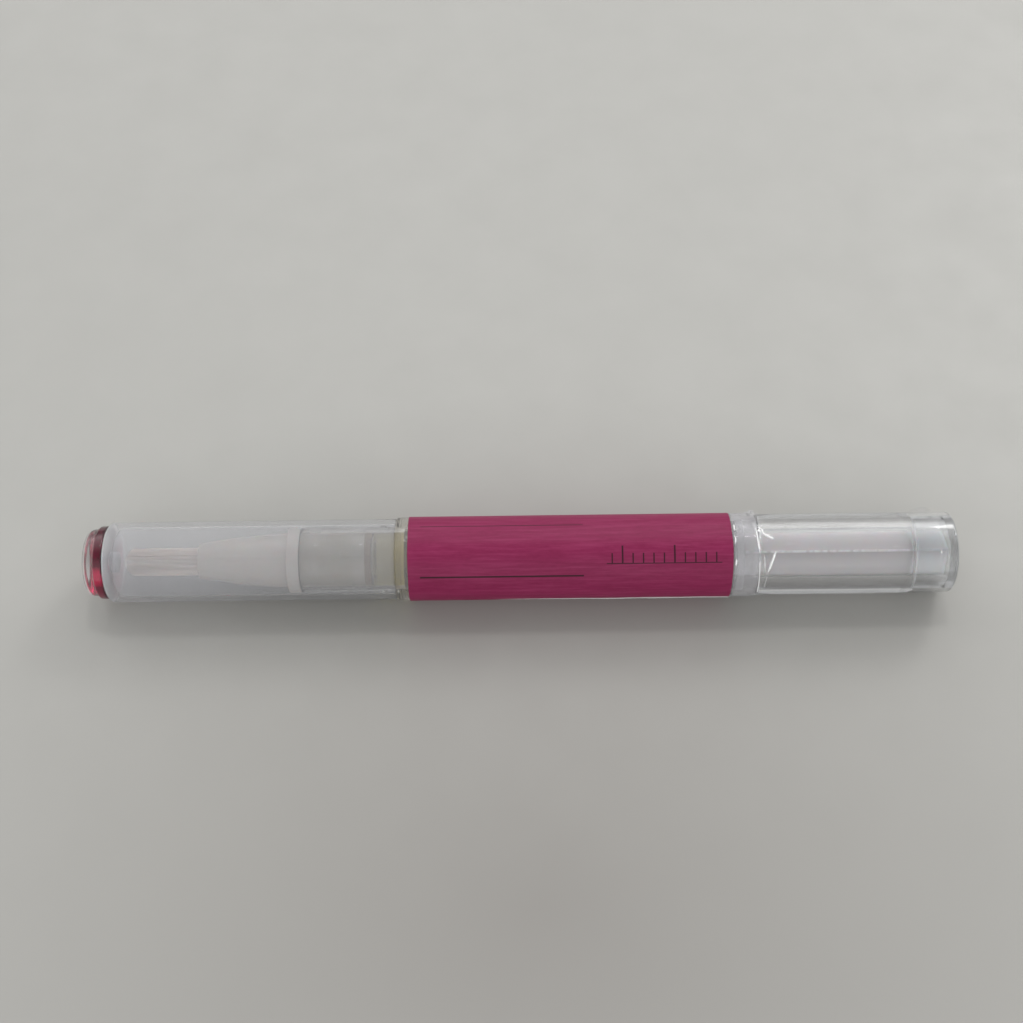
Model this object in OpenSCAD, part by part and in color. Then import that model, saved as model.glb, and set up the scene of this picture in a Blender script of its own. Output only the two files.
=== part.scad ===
// Twist-up nail oil pen, lying along X with its tip at -X and its twist knob at +X.
// Stations (names that start with s_) are distances along the pen from the outer end of the clear dome.

/* [End jewel] */
// Length of the clear dome on the cap's closed end
dome_len = 2.3; // [2:0.1:4]
// How far the dome's side lies inside the red disc's
dome_step = 0.45; // [0.3:0.05:0.8]
// Height of the dome's shallow crown
dome_crown = 0.45; // [0.2:0.05:0.8]
// Radius round the dome's front edge
dome_edge = 1.1; // [0.6:0.1:1.2]
// Thickness of the red disc under the dome
disc_len = 1.3; // [0.8:0.1:1.8]
// How far the red disc's side lies inside the cap's
disc_step = 0.5; // [0.3:0.05:0.7]
// Radius round the red disc's edges
disc_edge = 0.3; // [0.1:0.05:0.35]
// Diameter of the disc's stem, which is pressed into the cap
stem_d = 3; // [2:0.1:4]
// Length of the disc's stem
stem_len = 0.9; // [0.6:0.1:1]

/* [Cap] */
// Room in the cap in front of the bristles
cap_room = 0.95; // [0.8:0.05:4]
// How far the cap's side lies inside the barrel's
cap_step = 0.2; // [0:0.05:0.4]
// Wall of the cap
cap_wall = 0.9; // [0.8:0.05:1]
// Thickness of the cap's closed end
cap_end_wall = 1.3; // [1.2:0.1:1.4]
// Radius round the cap's closed end
cap_edge = 0.8; // [0.4:0.1:1.2]
// Radius inside the cap's closed end
cap_inner_edge = 1; // [0.4:0.1:1.6]
// Bevel inside the cap's rim
cap_lead = 0.25; // [0.1:0.05:0.4]

/* [Applicator] */
// How far the bristles stand out of the ferrule
bristle_out = 11; // [8:0.1:14]
// Distance between rings of bristles
bristle_pitch = 0.18; // [0.17:0.005:0.185]
// Width of one bristle across its corners
bristle_w = 0.13; // [0.1:0.01:0.14]
// Thickness of the fused slice at the bristles' root
bristle_root = 0.8; // [0.5:0.1:1.2]
// How much shorter the outer ring of bristles is than the inner one
bristle_crown = 0.9; // [0:0.1:2]
// Wall of the collar round the bristles' root
collar_wall = 0.2; // [0.15:0.05:0.25]
// Length of the collar
collar_len = 3; // [2:0.1:4]
// Outside diameter of the feed tube inside the bristles
feed_d = 1.1; // [0.8:0.05:1.2]
// Bore of the feed tube
feed_bore_d = 0.7; // [0.4:0.05:0.7]
// How far the feed tube stands out of the ferrule
feed_out = 5; // [3:0.1:8]
// Length of the ferrule's tapered nose
nose_len = 13.3; // [11:0.1:16]
// Wall of the nose round the bristles' collar
tip_wall = 0.25; // [0.2:0.05:0.5]
// Thickness of the ferrule's flange
flange_len = 1.8; // [1.2:0.1:2.4]
// Radial gap between the flange and the cap
flange_gap = 0.2; // [0.1:0.05:0.4]
// Length of the ferrule's plug inside the barrel's neck
plug_len = 9.4; // [7:0.1:10]
// Wall of the ferrule's plug
plug_wall = 0.9; // [0.7:0.1:1.2]
// Width of the seal ring behind the plug
seal_len = 1; // [0.6:0.1:1.4]
// Depth of the seal ring
seal_depth = 0.65; // [0.4:0.05:0.8]

/* [Barrel] */
// Outside diameter of the barrel
barrel_d = 12.2; // [12:0.1:12.8]
// Wall of the barrel
barrel_wall = 1.1; // [1:0.05:1.2]
// Length of the neck that the cap slides over
neck_len = 14; // [12.6:0.1:16]
// Radial gap between the neck and the cap
neck_gap = 0.25; // [0.15:0.05:0.4]
// Wall of the neck
neck_wall = 0.8; // [0.7:0.05:1]
// Width of the bead on the neck that grips the cap
bead_len = 1.2; // [0.8:0.1:1.6]
// Distance from the front band to the bead
bead_back = 2; // [1.4:0.1:3]
// Length of the bare band in front of the label
band_len = 1.9; // [1.6:0.1:3]
// Thickness of the barrel's front shoulder
shoulder_len = 1.2; // [1:0.1:1.4]
// Length of the funnel from the bore to the neck
funnel_len = 0.9; // [0.6:0.1:1.6]
// Length of the collar behind the label
collar_rear_len = 3.6; // [3.4:0.1:6]
// Radius round the barrel's outer edges
barrel_edge = 0.3; // [0.1:0.05:0.4]

/* [Label and film] */
// Length of the label
label_len = 46.8; // [40:0.1:60]
// Thickness of the label
label_t = 0.08; // [0.06:0.01:0.15]
// Width of the slit where the label's ends meet
label_slit = 0.4; // [0.2:0.1:1]
// Turn of that slit about the pen's axis
seam_turn = 208; // [0:1:359]
// Thickness of the clear shrink film
film_t = 0.05; // [0.04:0.01:0.08]
// Length of the film over the knob
film_on_knob = 26.5; // [20:0.1:28]
// Length over which the film steps down to the knob
film_step = 0.6; // [0.4:0.1:1.2]

/* [Drive] */
// Gap between the square push tube's edges and the knob's bore
tube_gap = 0.1; // [0.05:0.01:0.2]
// Thinnest wall of the push tube
tube_wall = 0.55; // [0.5:0.05:0.65]
// Turn of the square tube about the pen's axis
tube_turn = 70; // [0:1:90]
// Thickness of the push tube's front wall
tube_front = 0.6; // [0.4:0.1:1]
// Length of the drive nut
nut_len = 4; // [2.5:0.1:5]
// How far the square drive nut's sides lie inside the push tube's
nut_inset = 0.35; // [0.3:0.01:0.4]
// Radial gap between the spindle and the push tube's bore
spindle_gap = 0.3; // [0.25:0.05:0.4]
// Depth of the spindle's thread
thread_depth = 0.4; // [0.2:0.05:0.5]
// Travel of the piston for one turn of the knob
thread_lead = 2.6; // [2.2:0.05:2.7]
// How far the spindle's root stands out past its thread
root_step = 0.05; // [0.02:0.01:0.1]
// Length of the spindle's root
root_len = 1.6; // [1:0.1:2.4]
// Depth of the seat in the plug's end wall that holds the root
root_seat = 0.5; // [0.3:0.1:0.6]
// Length of the piston
piston_len = 6; // [5:0.1:8]
// Thickness of the piston's front wall
piston_front = 1.5; // [1:0.1:2.4]
// Depth of the groove between the piston's lips
piston_waist = 0.4; // [0.2:0.05:0.6]
// Width of each of the piston's lips
lip_len = 1; // [0.6:0.1:1.6]

/* [Turning end] */
// Length of the clear twist knob
knob_len = 28.7; // [26:0.1:36]
// How far the knob's side lies inside the barrel's
knob_step = 0.2; // [0:0.05:0.35]
// Radius round the knob's outer end
knob_edge = 0.5; // [0.2:0.1:0.8]
// Length of the clear plug in the knob's end
end_plug_len = 6.2; // [4:0.1:8]
// Wall of the knob round the clear plug
plug_rim = 0.53; // [0.45:0.01:0.8]
// Thickness of the plug's end wall
end_wall = 0.9; // [0.7:0.1:1.4]
// Length of the knob's hub inside the barrel
hub_len = 7.4; // [7:0.1:7.8]
// Length of the hub's thinner nose
hub_nose_len = 2.2; // [2:0.1:2.4]
// How far the nose's side lies inside the hub's
hub_nose_step = 1; // [0.95:0.05:1.05]
// Wall of the hub's nose
hub_nose_wall = 0.45; // [0.35:0.05:0.5]
// Width of the ring that keeps the hub in the barrel
clip_len = 1; // [0.8:0.1:1.2]
// Depth of that ring
clip_depth = 0.55; // [0.45:0.05:0.6]
// How deep the ring sits in the hub
clip_in_hub = 0.3; // [0.2:0.05:0.35]
// Distance from the barrel's rear end to the ring
clip_back = 2; // [1.6:0.1:2.2]
// Width of the slit in the ring
clip_slit = 1.2; // [0.8:0.1:2]
// Length of the guide ring with the square hole
guide_len = 3.2; // [2:0.1:4]
// Number of ratchet teeth, which is the number of clicks in a turn
tooth_count = 12; // [8:1:16]
// Depth of the ratchet teeth
tooth_depth = 0.25; // [0.15:0.05:0.3]
// Thickness of the ratchet ring under its teeth
ratchet_rim = 0.25; // [0.2:0.05:0.3]
// Length of the ratchet ring
ratchet_len = 2; // [1.6:0.1:2.1]
// Number of spring pawls
pawl_count = 2; // [2:1:3]
// Thickness of the spring ring that carries the pawls
pawl_ring_t = 0.15; // [0.1:0.05:0.2]
// Width of that ring's unbroken hoop
pawl_hoop_len = 0.6; // [0.4:0.1:0.9]
// Angle that one pawl covers
pawl_angle = 60; // [40:1:80]

/* [Clearances] */
// Radial clearance of pieces that turn or slide in each other
run_gap = 0.05; // [0.03:0.01:0.08]
// Radial clearance of pieces that are pressed or bonded together
press_gap = 0.02; // [0.01:0.005:0.03]
// Radial gap left for the glue under the label, the film and the dome
glue_gap = 0.01; // [0.005:0.005:0.02]
// Gap between end faces that move past each other
face_gap = 0.1; // [0.05:0.01:0.2]
// Radial clearance between the two threads
thread_gap = 0.12; // [0.1:0.01:0.16]
// Gap between the guide ring and the piston at rest
piston_gap = 1; // [0.5:0.1:2]
// Space left in front of the piston when the pen is empty
end_gap = 0.6; // [0.4:0.1:1.5]

/* [Hidden] */
$fn = 96;

// Overrun of cuts
over = 0.05;

// Stations along the pen
s_disc = dome_len;
s_cap = s_disc + disc_len;
s_cap_inner = s_cap + cap_end_wall;
s_tip = s_cap_inner + cap_room;
s_ferrule = s_tip + bristle_out;
s_flange = s_ferrule + nose_len;
s_neck = s_flange + flange_len;
s_band = s_neck + neck_len;
s_rim = s_band - face_gap;
s_label = s_band + band_len;
s_collar = s_label + label_len + 2 * face_gap;
s_barrel_end = s_collar + collar_rear_len;
s_knob = s_barrel_end + face_gap;
s_end = s_knob + knob_len;
s_seal = s_neck + plug_len;
s_plug_end = s_seal + seal_len + seal_depth / 2;
s_bead = s_band - bead_back;
s_funnel = s_band + shoulder_len;
s_bore = s_funnel + funnel_len;
s_hub = s_barrel_end - hub_len;
s_hub_main = s_hub + hub_nose_len;
s_guide = s_hub - 2 * face_gap - guide_len;
s_piston = s_guide - piston_gap - piston_len;
s_tube = s_piston + piston_front;
s_end_plug = s_end - end_plug_len;
s_tube_end = s_end - end_wall - 2 * face_gap;
s_root = s_end - end_wall - root_len;
s_nut_end = s_root - 2 * face_gap;
s_nut = s_nut_end - nut_len;
s_thread = s_tube + tube_front + end_gap;
s_clip = s_barrel_end - clip_back - clip_len;
half_len = s_end / 2;

// Height of the pen's axis over the surface that it lies on
axis_h = barrel_d / 2 + glue_gap + label_t;

// Radii, from the outside in
barrel_r = barrel_d / 2;
bore_r = barrel_r - barrel_wall;
label_r = barrel_r + glue_gap;
film_r = barrel_r + glue_gap;
cap_r = barrel_r - cap_step;
cap_bore_r = cap_r - cap_wall;
disc_r = cap_r - disc_step;
dome_r = disc_r - dome_step;
flange_r = cap_bore_r - flange_gap;
neck_r = cap_bore_r - neck_gap;
neck_bore_r = neck_r - neck_wall;
plug_r = neck_bore_r - press_gap;
knob_r = barrel_r - knob_step;
hub_r = bore_r - run_gap;
hub_nose_r = hub_r - hub_nose_step;
knob_bore_r = hub_nose_r - hub_nose_wall;
plug_seat_r = knob_r - plug_rim;
tube_side = sqrt(2) * (knob_bore_r - tube_gap);
tube_bore_r = tube_side / 2 - tube_wall;
nut_side = tube_side - 2 * nut_inset;
thread_out_r = tube_bore_r - spindle_gap;
thread_r = thread_out_r - thread_depth / 2;
root_r = thread_out_r + root_step;

// Rings of bristles, with six more bristles in each ring than in the one inside it
strand_step = 6;
first_ring = ceil((feed_d / 2 + press_gap + bristle_w / 2) / bristle_pitch);
ring_count = 8;
last_ring = first_ring + ring_count - 1;
tuft_r = last_ring * bristle_pitch + bristle_w;
collar_bore_r = tuft_r + press_gap;
socket_r = collar_bore_r + collar_wall + press_gap;
s_root_slice = s_ferrule + collar_len - bristle_root;

// Share of a tooth's angle that its ramp takes
tooth_ramp_share = 0.98;

// Steps in a quarter of a round edge, and in the nose's curve
edge_steps = 6;
nose_steps = 12;

// Points round one turn of the thread, and slices in one turn
thread_sides = 16;
thread_slices = 10;

// Stands a shape whose own axis is Z on the pen's axis, at station s
module along(s) {
    translate([s - half_len, 0, axis_h])
        rotate([0, 90, 0])
            children();
}

// Solid or hollow round piece from station a to station b
module ring(a, b, r_out, r_in = 0) {
    along(a)
        difference() {
            cylinder(h = b - a, r = r_out);
            if (r_in > 0)
                translate([0, 0, -over])
                    cylinder(h = b - a + 2 * over, r = r_in);
        }
}

// Round hole from station a to station b, as a cutter
module hole(a, b, r) {
    along(a)
        cylinder(h = b - a, r = r);
}

// Square bar from station a to station b, turned like the push tube
module square_bar(a, b, side) {
    along(a)
        rotate(tube_turn)
            translate([0, 0, (b - a) / 2])
                cube([side, side, b - a], center = true);
}

// Revolves an outline whose points are [radius, station]
module turned(points) {
    along(0)
        rotate_extrude()
            polygon(points);
}

// Quarter of a round edge: points [radius, station] from angle a to angle b about a centre
function arc(cr, cs, r, a, b) = [
    for (i = [0 : edge_steps]) let (t = a + (b - a) * i / edge_steps) [cr + r * cos(t), cs + r * sin(t)]
];

// Points of a shallow crown from the axis to radius r, which rises by h towards lower stations
function crown(r, s, h) = [
    for (i = [0 : edge_steps]) let (x = r * i / edge_steps) [x, s + h * pow(x / r, 2)]
];

module end_dome() {
    flat_r = dome_r - dome_edge;
    color([0.93, 0.93, 0.95, 0.5])
        turned(concat(
            crown(flat_r, 0, dome_crown),
            arc(flat_r, dome_crown + dome_edge, dome_edge, -90, 0),
            [[dome_r, s_disc - glue_gap], [0, s_disc - glue_gap]]
        ));
}

module end_disc() {
    color([0.72, 0.02, 0.15])
        union() {
            turned(concat(
                [[0, s_disc]],
                arc(disc_r - disc_edge, s_disc + disc_edge, disc_edge, -90, 0),
                arc(disc_r - disc_edge, s_cap - disc_edge, disc_edge, 0, 90),
                [[0, s_cap]]
            ));
            ring(s_cap - disc_edge, s_cap + stem_len, stem_d / 2);
        }
}

module cap_shell() {
    color([0.86, 0.89, 0.93, 0.6])
        difference() {
            turned(concat(
                [[0, s_cap]],
                arc(cap_r - cap_edge, s_cap + cap_edge, cap_edge, -90, 0),
                [[cap_r, s_rim], [cap_bore_r + cap_lead, s_rim], [cap_bore_r, s_rim - cap_lead]],
                arc(cap_bore_r - cap_inner_edge, s_cap_inner + cap_inner_edge, cap_inner_edge, 0, -90),
                [[0, s_cap_inner]]
            ));
            hole(s_cap - over, s_cap + stem_len + press_gap, stem_d / 2 + press_gap);
        }
}

// Bristles are straight square strands, shorter ring by ring towards the outside
module bristles() {
    color([0.93, 0.87, 0.8])
        union() {
            ring(s_root_slice, s_root_slice + bristle_root, tuft_r, feed_d / 2 + press_gap);
            for (k = [first_ring : last_ring]) {
                drop = bristle_crown * pow((k - first_ring) / (ring_count - 1), 2);
                along(s_tip + drop)
                    linear_extrude(s_root_slice + bristle_root / 2 - s_tip - drop)
                        for (i = [0 : strand_step * k - 1])
                            rotate(360 * i / (strand_step * k))
                                translate([k * bristle_pitch, 0])
                                    circle(d = bristle_w, $fn = 4);
            }
        }
}

module bristle_collar() {
    color([0.8, 0.8, 0.82])
        ring(s_ferrule + face_gap, s_ferrule + collar_len + face_gap, collar_bore_r + collar_wall, collar_bore_r);
}

module feed_tube() {
    color([0.95, 0.95, 0.95])
        ring(s_ferrule - feed_out, s_neck, feed_d / 2, feed_bore_d / 2);
}

module brush_ferrule() {
    tip_r = socket_r + tip_wall;
    grow = neck_bore_r - tip_r;
    nose = [
        for (i = [0 : nose_steps]) let (t = i / nose_steps) [tip_r + grow * sin(90 * t), s_ferrule + nose_len * t]
    ];
    color([0.92, 0.93, 0.92])
        difference() {
            turned(concat(
                [[0, s_ferrule]],
                nose,
                [
                    [flange_r, s_flange],
                    [flange_r, s_neck],
                    [plug_r, s_neck],
                    [plug_r, s_seal],
                    [plug_r - seal_depth, s_seal],
                    [plug_r - seal_depth, s_plug_end],
                    [0, s_plug_end]
                ]
            ));
            hole(s_ferrule - over, s_ferrule + collar_len + 2 * face_gap, socket_r);
            hole(s_ferrule, s_neck + over, feed_d / 2 + press_gap);
            hole(s_neck, s_plug_end + over, plug_r - seal_depth - plug_wall);
        }
}

module plug_seal() {
    color([0.72, 0.62, 0.5])
        ring(s_seal + press_gap, s_seal + seal_len, plug_r, plug_r - seal_depth + press_gap);
}

module barrel() {
    color([0.88, 0.88, 0.84, 0.5])
        difference() {
            turned(concat(
                [
                    [neck_bore_r, s_neck],
                    [neck_r, s_neck],
                    [neck_r, s_bead - bead_len / 2],
                    [cap_bore_r - run_gap, s_bead - bead_len / 4],
                    [cap_bore_r - run_gap, s_bead + bead_len / 4],
                    [neck_r, s_bead + bead_len / 2],
                    [neck_r, s_band]
                ],
                arc(barrel_r - barrel_edge, s_band + barrel_edge, barrel_edge, -90, 0),
                arc(barrel_r - barrel_edge, s_barrel_end - barrel_edge, barrel_edge, 0, 90),
                [
                    [bore_r, s_barrel_end],
                    [bore_r, s_bore],
                    [neck_bore_r, s_funnel]
                ]
            ));
            hole(
                s_clip - face_gap / 2,
                s_clip + clip_len + face_gap / 2,
                hub_r - clip_in_hub + clip_depth + run_gap
            );
        }
}

// Oil from the ferrule's plug to the piston, just clear of the walls
module oil_fill() {
    cup_r = plug_r - seal_depth - plug_wall - press_gap;
    neck_fill = neck_bore_r - press_gap;
    bore_fill = bore_r - press_gap;
    color([0.93, 0.88, 0.66, 0.7])
        turned([
            [0, s_neck + press_gap],
            [cup_r, s_neck + press_gap],
            [cup_r, s_plug_end + press_gap],
            [neck_fill, s_plug_end + press_gap],
            [neck_fill, s_funnel + press_gap],
            [bore_fill, s_bore + press_gap],
            [bore_fill, s_piston - press_gap],
            [0, s_piston - press_gap]
        ]);
}

module label() {
    color([0.83, 0.16, 0.5])
        difference() {
            ring(s_label, s_label + label_len, label_r + label_t, label_r);
            along(s_label)
                rotate(seam_turn)
                    translate([0, barrel_r, label_len / 2])
                        cube([label_slit, barrel_r, label_len * 2], center = true);
        }
}

module shrink_film() {
    on_knob = knob_r + run_gap;
    color([0.93, 0.93, 0.96, 0.35])
        turned([
            [film_r, s_collar],
            [film_r + film_t, s_collar],
            [film_r + film_t, s_barrel_end],
            [on_knob + film_t, s_knob + film_step],
            [on_knob + film_t, s_knob + film_on_knob],
            [on_knob, s_knob + film_on_knob],
            [on_knob, s_knob + film_step],
            [film_r, s_barrel_end]
        ]);
}

module piston() {
    r = bore_r - run_gap + press_gap / 2;
    waist = r - piston_waist;
    back = s_piston + piston_len;
    color([0.95, 0.95, 0.93])
        difference() {
            turned([
                [0, s_piston],
                [waist, s_piston],
                [r, s_piston + lip_len / 2],
                [r, s_piston + lip_len],
                [waist, s_piston + lip_len * 3 / 2],
                [waist, back - lip_len * 3 / 2],
                [r, back - lip_len],
                [r, back - lip_len / 2],
                [waist, back],
                [0, back]
            ]);
            square_bar(s_tube, back + over, tube_side + 2 * press_gap);
        }
}

// Square tube, turned so that an edge of it faces up and forward
module push_tube() {
    color([0.93, 0.94, 0.95])
        difference() {
            square_bar(s_tube + press_gap, s_tube_end, tube_side);
            hole(s_tube + tube_front, s_tube_end + over, tube_bore_r);
            square_bar(s_nut - face_gap, s_tube_end + over, nut_side + 2 * press_gap);
        }
}

// Left-hand round thread between two stations, in phase along the whole pen
module thread(a, b, r) {
    turns = (b - a) / thread_lead;
    along(a)
        rotate(-360 * (a - s_thread) / thread_lead)
            linear_extrude(
                height = b - a,
                twist = 360 * turns,
                slices = ceil(thread_slices * turns),
                segments = thread_sides
            )
                translate([thread_depth / 2, 0])
                    circle(r = r, $fn = thread_sides);
}

module drive_nut() {
    color([0.85, 0.86, 0.88])
        difference() {
            square_bar(s_nut, s_nut_end, nut_side);
            thread(s_nut - over, s_nut_end + over, thread_r + thread_gap);
        }
}

module spindle() {
    color([0.9, 0.91, 0.92])
        union() {
            thread(s_thread, s_root + over, thread_r);
            ring(s_root, s_end - end_wall + root_seat - press_gap, root_r);
        }
}

module guide_ring() {
    color([0.9, 0.9, 0.92])
        difference() {
            ring(s_guide, s_guide + guide_len, bore_r - press_gap);
            square_bar(s_guide - over, s_guide + guide_len + over, tube_side + 2 * run_gap);
        }
}

// Saw teeth inside the ratchet ring, which let the pawls pass one way only
module ratchet_ring() {
    valley = bore_r - press_gap - ratchet_rim;
    steps = 4;
    teeth = [
        for (i = [0 : tooth_count - 1])
            for (j = [0 : steps])
                let (
                    a = 360 * (i + tooth_ramp_share * j / steps) / tooth_count,
                    r = valley - tooth_depth * (1 - j / steps)
                )
                    [r * cos(a), r * sin(a)]
    ];
    color([0.9, 0.88, 0.84])
        along(s_hub + face_gap / 2)
            difference() {
                cylinder(h = ratchet_len, r = bore_r - press_gap);
                translate([0, 0, -over])
                    linear_extrude(ratchet_len + 2 * over)
                        polygon(teeth);
            }
}

// Thin spring ring on the hub's nose, drawn with its arms pressed in by the ratchet's teeth
module pawl_ring() {
    r_in = hub_nose_r + press_gap;
    r_out = r_in + pawl_ring_t;
    lift = bore_r - press_gap - ratchet_rim - tooth_depth - run_gap - r_out;
    ring_len = ratchet_len - face_gap;
    arm_z = pawl_hoop_len + face_gap;
    root_a = -6;
    root_in = pawl_ring_t / 4;
    steps = 6;
    arm = [for (j = [0 : steps]) [pawl_angle * j / steps, lift * j / steps]];
    window = 2 * r_out;
    color([0.86, 0.87, 0.9])
        along(s_hub + face_gap)
            union() {
                difference() {
                    cylinder(h = ring_len, r = r_out);
                    translate([0, 0, -over])
                        cylinder(h = ring_len + 2 * over, r = r_in);
                    for (i = [0 : pawl_count - 1])
                        rotate(360 * i / pawl_count)
                            translate([0, 0, pawl_hoop_len])
                                linear_extrude(ring_len)
                                    polygon([
                                        [0, 0],
                                        [window, 0],
                                        [window * cos(pawl_angle / 2), window * sin(pawl_angle / 2)],
                                        [window * cos(pawl_angle + 4), window * sin(pawl_angle + 4)]
                                    ]);
                }
                for (i = [0 : pawl_count - 1])
                    rotate(360 * i / pawl_count)
                        translate([0, 0, arm_z])
                            linear_extrude(ring_len - arm_z)
                                polygon(concat(
                                    [[(r_in + root_in) * cos(root_a), (r_in + root_in) * sin(root_a)]],
                                    [[(r_out - root_in) * cos(root_a), (r_out - root_in) * sin(root_a)]],
                                    [for (p = arm) (r_out + p[1]) * [cos(p[0]), sin(p[0])]],
                                    [for (j = [steps : -1 : 0]) (r_in + arm[j][1]) * [cos(arm[j][0]), sin(arm[j][0])]]
                                ));
            }
}

// Split ring, half in the barrel's groove and half in the hub's
module retaining_ring() {
    r_in = hub_r - clip_in_hub + run_gap;
    color([0.95, 0.95, 0.95])
        difference() {
            ring(s_clip, s_clip + clip_len, r_in + clip_depth - run_gap, r_in);
            along(s_clip)
                translate([0, bore_r, clip_len / 2])
                    cube([clip_slit, barrel_r, clip_len * 2], center = true);
        }
}

module twist_knob() {
    color([0.9, 0.91, 0.94, 0.45])
        difference() {
            turned(concat(
                [
                    [knob_bore_r, s_hub],
                    [hub_nose_r, s_hub],
                    [hub_nose_r, s_hub_main],
                    [hub_r, s_hub_main],
                    [hub_r, s_knob]
                ],
                arc(knob_r - barrel_edge, s_knob + barrel_edge, barrel_edge, -90, 0),
                arc(knob_r - knob_edge, s_end - knob_edge, knob_edge, 0, 90),
                [
                    [plug_seat_r, s_end],
                    [plug_seat_r, s_end_plug],
                    [knob_bore_r, s_end_plug]
                ]
            ));
            along(s_clip - face_gap / 2)
                difference() {
                    cylinder(h = clip_len + face_gap, r = bore_r + over);
                    translate([0, 0, -over])
                        cylinder(h = clip_len + face_gap + 2 * over, r = hub_r - clip_in_hub);
                }
        }
}

module end_plug() {
    color([0.92, 0.93, 0.95, 0.5])
        difference() {
            ring(s_end_plug + press_gap, s_end, plug_seat_r - press_gap);
            hole(s_end_plug - over, s_end - end_wall, knob_bore_r);
            hole(s_end - end_wall - over, s_end - end_wall + root_seat, root_r + press_gap);
        }
}

end_dome();
end_disc();
cap_shell();
bristles();
bristle_collar();
feed_tube();
brush_ferrule();
plug_seal();
barrel();
oil_fill();
label();
shrink_film();
piston();
push_tube();
drive_nut();
guide_ring();
ratchet_ring();
pawl_ring();
retaining_ring();
spindle();
twist_knob();
end_plug();
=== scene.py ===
"""Twist-up nail oil pen: the looks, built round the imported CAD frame.

Lengths in the profiles are millimetres: s runs along the pen from the dome's tip, r is the distance from the pen's
axis, and the angle a goes from the viewer's side (0) over the top (90 degrees). Colours are linear RGB.
"""
import math
import random

import bmesh
import bpy
from mathutils import Matrix, Vector, noise


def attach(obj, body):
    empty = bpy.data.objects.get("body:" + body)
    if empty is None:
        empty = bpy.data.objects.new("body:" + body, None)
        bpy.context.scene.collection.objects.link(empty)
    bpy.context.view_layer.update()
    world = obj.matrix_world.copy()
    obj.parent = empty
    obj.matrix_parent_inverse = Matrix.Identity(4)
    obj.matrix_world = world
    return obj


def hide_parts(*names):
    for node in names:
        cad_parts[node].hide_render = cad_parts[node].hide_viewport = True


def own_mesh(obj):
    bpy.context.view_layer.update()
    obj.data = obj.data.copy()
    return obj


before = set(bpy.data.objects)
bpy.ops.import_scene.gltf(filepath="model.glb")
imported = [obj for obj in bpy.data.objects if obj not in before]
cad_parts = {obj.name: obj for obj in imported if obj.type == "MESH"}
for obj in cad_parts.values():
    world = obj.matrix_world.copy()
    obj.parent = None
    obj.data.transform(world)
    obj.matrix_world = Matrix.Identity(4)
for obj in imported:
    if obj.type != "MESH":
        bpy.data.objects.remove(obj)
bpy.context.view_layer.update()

MM = 0.001
HALF = 63.625  # the frame's origin is at the middle of the pen's length
AXIS_H = 6.19  # the pen lies on its label, which is the thickest piece
rnd = random.Random(7)

# ---------------------------------------------------------------- stations and radii, as in the CAD

S_DISC, S_CAP, S_RIM = 2.3, 3.6, 45.85
S_BAND, S_LABEL, S_LABEL_END = 45.95, 47.85, 94.65
S_COLLAR, S_BARREL_END, S_KNOB, S_END = 94.85, 98.45, 98.55, 127.25
NOSE_LENGTH = 13.3
S_NECK = S_BAND - 14
S_FLANGE = S_NECK - 1.8
S_FERRULE = S_FLANGE - NOSE_LENGTH
S_TIP = S_FERRULE - 11
S_SEAL = S_NECK + 9.4
S_PLUG_END = S_SEAL + 1 + 0.325
S_BEAD = S_BAND - 2
S_FUNNEL = S_BAND + 1.2
S_BORE = S_FUNNEL + 0.9
S_HUB = S_BARREL_END - 7.4
S_GUIDE = S_HUB - 0.2 - 3.2
S_PISTON = S_GUIDE - 1 - 6
S_TUBE = S_PISTON + 1.5
S_CLIP = S_BARREL_END - 3
S_END_PLUG = S_END - 6.2
S_TUBE_END = S_END - 0.9 - 0.2
S_ROOT = S_END - 0.9 - 1.6
S_NUT = S_ROOT - 0.2 - 4

R_CAP, R_BARREL, R_LABEL, R_KNOB = 5.9, 6.1, 6.19, 5.9
R_NECK, R_NECK_BORE, R_BORE = 4.75, 3.95, 5.0
R_STEM_HOLE, R_FEED_SEAT, R_SOCKET = 1.53, 0.57, 2.13 + 0.2 + 0.02
R_KNOB_BORE, R_HUB, R_CLIP, R_CLIP_SEAT = 3.5, 4.95, 4.65, 5.25
R_PLUG = R_NECK_BORE - 0.02
R_PLUG_TIP = R_PLUG - 0.65
R_CUP = R_PLUG - 1.55
TUBE_SIDE = math.sqrt(2) * 3.4
TUBE_TURN = 65
NECK_RINGS = ((34.0, 0.085), (36.9, 0.03), (40.5, 0.075))  # station and height of each low ring


# ---------------------------------------------------------------- geometry helpers

def place(s, r, a):
    """Point at station s, radius r and angle a, in metres."""
    return Vector(((s - HALF) * MM, -r * math.cos(a) * MM, (AXIS_H + r * math.sin(a)) * MM))


def clamped(x):
    return min(1.0, max(0.0, x))


def arc(cr, cs, r, a, b, steps=8):
    """Round edge about (cr, cs) from a to b degrees, as (r, s) points."""
    out = []
    for i in range(steps + 1):
        t = math.radians(a + (b - a) * i / steps)
        out.append((cr + r * math.cos(t), cs + r * math.sin(t)))
    return out


def finish_mesh(name, bm, sharp=33):
    """Turns a bmesh into an object with smooth faces and sharp edges over an angle in degrees."""
    bmesh.ops.recalc_face_normals(bm, faces=bm.faces)
    for f in bm.faces:
        f.smooth = True
    for e in bm.edges:
        if len(e.link_faces) == 2 and e.calc_face_angle(0) > math.radians(sharp):
            e.smooth = False
    mesh = bpy.data.meshes.new(name)
    bm.to_mesh(mesh)
    bm.free()
    obj = bpy.data.objects.new(name, mesh)
    bpy.context.collection.objects.link(obj)
    return obj


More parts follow.
